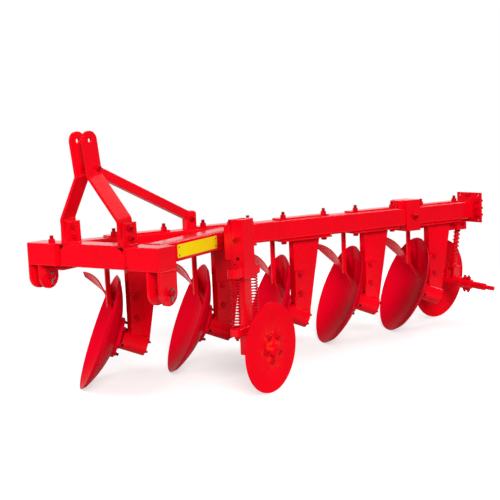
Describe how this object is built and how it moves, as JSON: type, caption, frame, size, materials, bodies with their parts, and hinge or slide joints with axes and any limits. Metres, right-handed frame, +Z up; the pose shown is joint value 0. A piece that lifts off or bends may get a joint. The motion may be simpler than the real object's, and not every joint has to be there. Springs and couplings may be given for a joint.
{
  "type": "mounted disc plough",
  "caption": "Mounted disc plough with a row of tilted concave discs on legs under a diagonal beam, scrapers, a front gauge wheel, a rear furrow wheel and a three-point hitch.",
  "frame": {"origin": "on the floor, at the middle of the plough's plan box", "axes": "+Z up, -Y the way the tractor pulls, +X to the plough's land (left) side"},
  "size_m": [1.6734, 3.0922, 1.4106],
  "materials": {
    "red_paint": "gloss",
    "steel": "satin"
  },
  "bodies": {
    "frame": {"main_beam": "red_paint", "extension_beam": "red_paint", "beam_splice": "red_paint", "hitch_beam": "red_paint", "hitch_block": "red_paint", "brace": "red_paint", "left_clevis": "red_paint", "right_clevis": "red_paint", "left_link_pin": "steel", "right_link_pin": "steel", "mast_left": "red_paint", "mast_right": "red_paint", "mast_foot_left": "red_paint", "mast_foot_right": "red_paint", "mast_stay": "red_paint", "stay_bracket": "red_paint", "front_sleeve": "red_paint", "front_post": "red_paint", "front_springs": "red_paint", "rear_bracket": "red_paint", "rear_stem": "red_paint", "rear_spring": "red_paint", "leg_1": "red_paint", "leg_2": "red_paint", "leg_3": "red_paint", "leg_4": "red_paint", "leg_5": "red_paint", "scraper_1": "red_paint", "scraper_2": "red_paint", "scraper_3": "red_paint", "scraper_4": "red_paint", "scraper_5": "red_paint"},
    "front_wheel": {"front_wheel": "red_paint"},
    "rear_wheel": {"rear_wheel": "red_paint"},
    "disc_1": {"disc_1": "red_paint"},
    "disc_2": {"disc_2": "red_paint"},
    "disc_3": {"disc_3": "red_paint"},
    "disc_4": {"disc_4": "red_paint"},
    "disc_5": {"disc_5": "red_paint"}
  },
  "joints": [
    {"name": "disc_1_spin", "type": "hinge", "parent": "frame", "child": "disc_1", "pos_m": [-0.5843, -1.19891, 0.30597], "axis": [-0.6441, -0.667, 0.3746], "continuous": true},
    {"name": "disc_2_spin", "type": "hinge", "parent": "frame", "child": "disc_2", "pos_m": [-0.35857, -0.69189, 0.30597], "axis": [-0.6441, -0.667, 0.3746], "continuous": true},
    {"name": "disc_3_spin", "type": "hinge", "parent": "frame", "child": "disc_3", "pos_m": [-0.13283, -0.18488, 0.30597], "axis": [-0.6441, -0.667, 0.3746], "continuous": true},
    {"name": "disc_4_spin", "type": "hinge", "parent": "frame", "child": "disc_4", "pos_m": [0.09291, 0.32214, 0.30597], "axis": [-0.6441, -0.667, 0.3746], "continuous": true},
    {"name": "disc_5_spin", "type": "hinge", "parent": "frame", "child": "disc_5", "pos_m": [0.31865, 0.82916, 0.30597], "axis": [-0.6441, -0.667, 0.3746], "continuous": true},
    {"name": "front_wheel_spin", "type": "hinge", "parent": "frame", "child": "front_wheel", "pos_m": [0.3583, -0.8928, 0.24], "axis": [1, 0, 0], "continuous": true},
    {"name": "rear_wheel_spin", "type": "hinge", "parent": "frame", "child": "rear_wheel", "pos_m": [0.39251, 1.2734, 0.2796], "axis": [0.9679, -0.2413, -0.0698], "continuous": true}
  ]
}
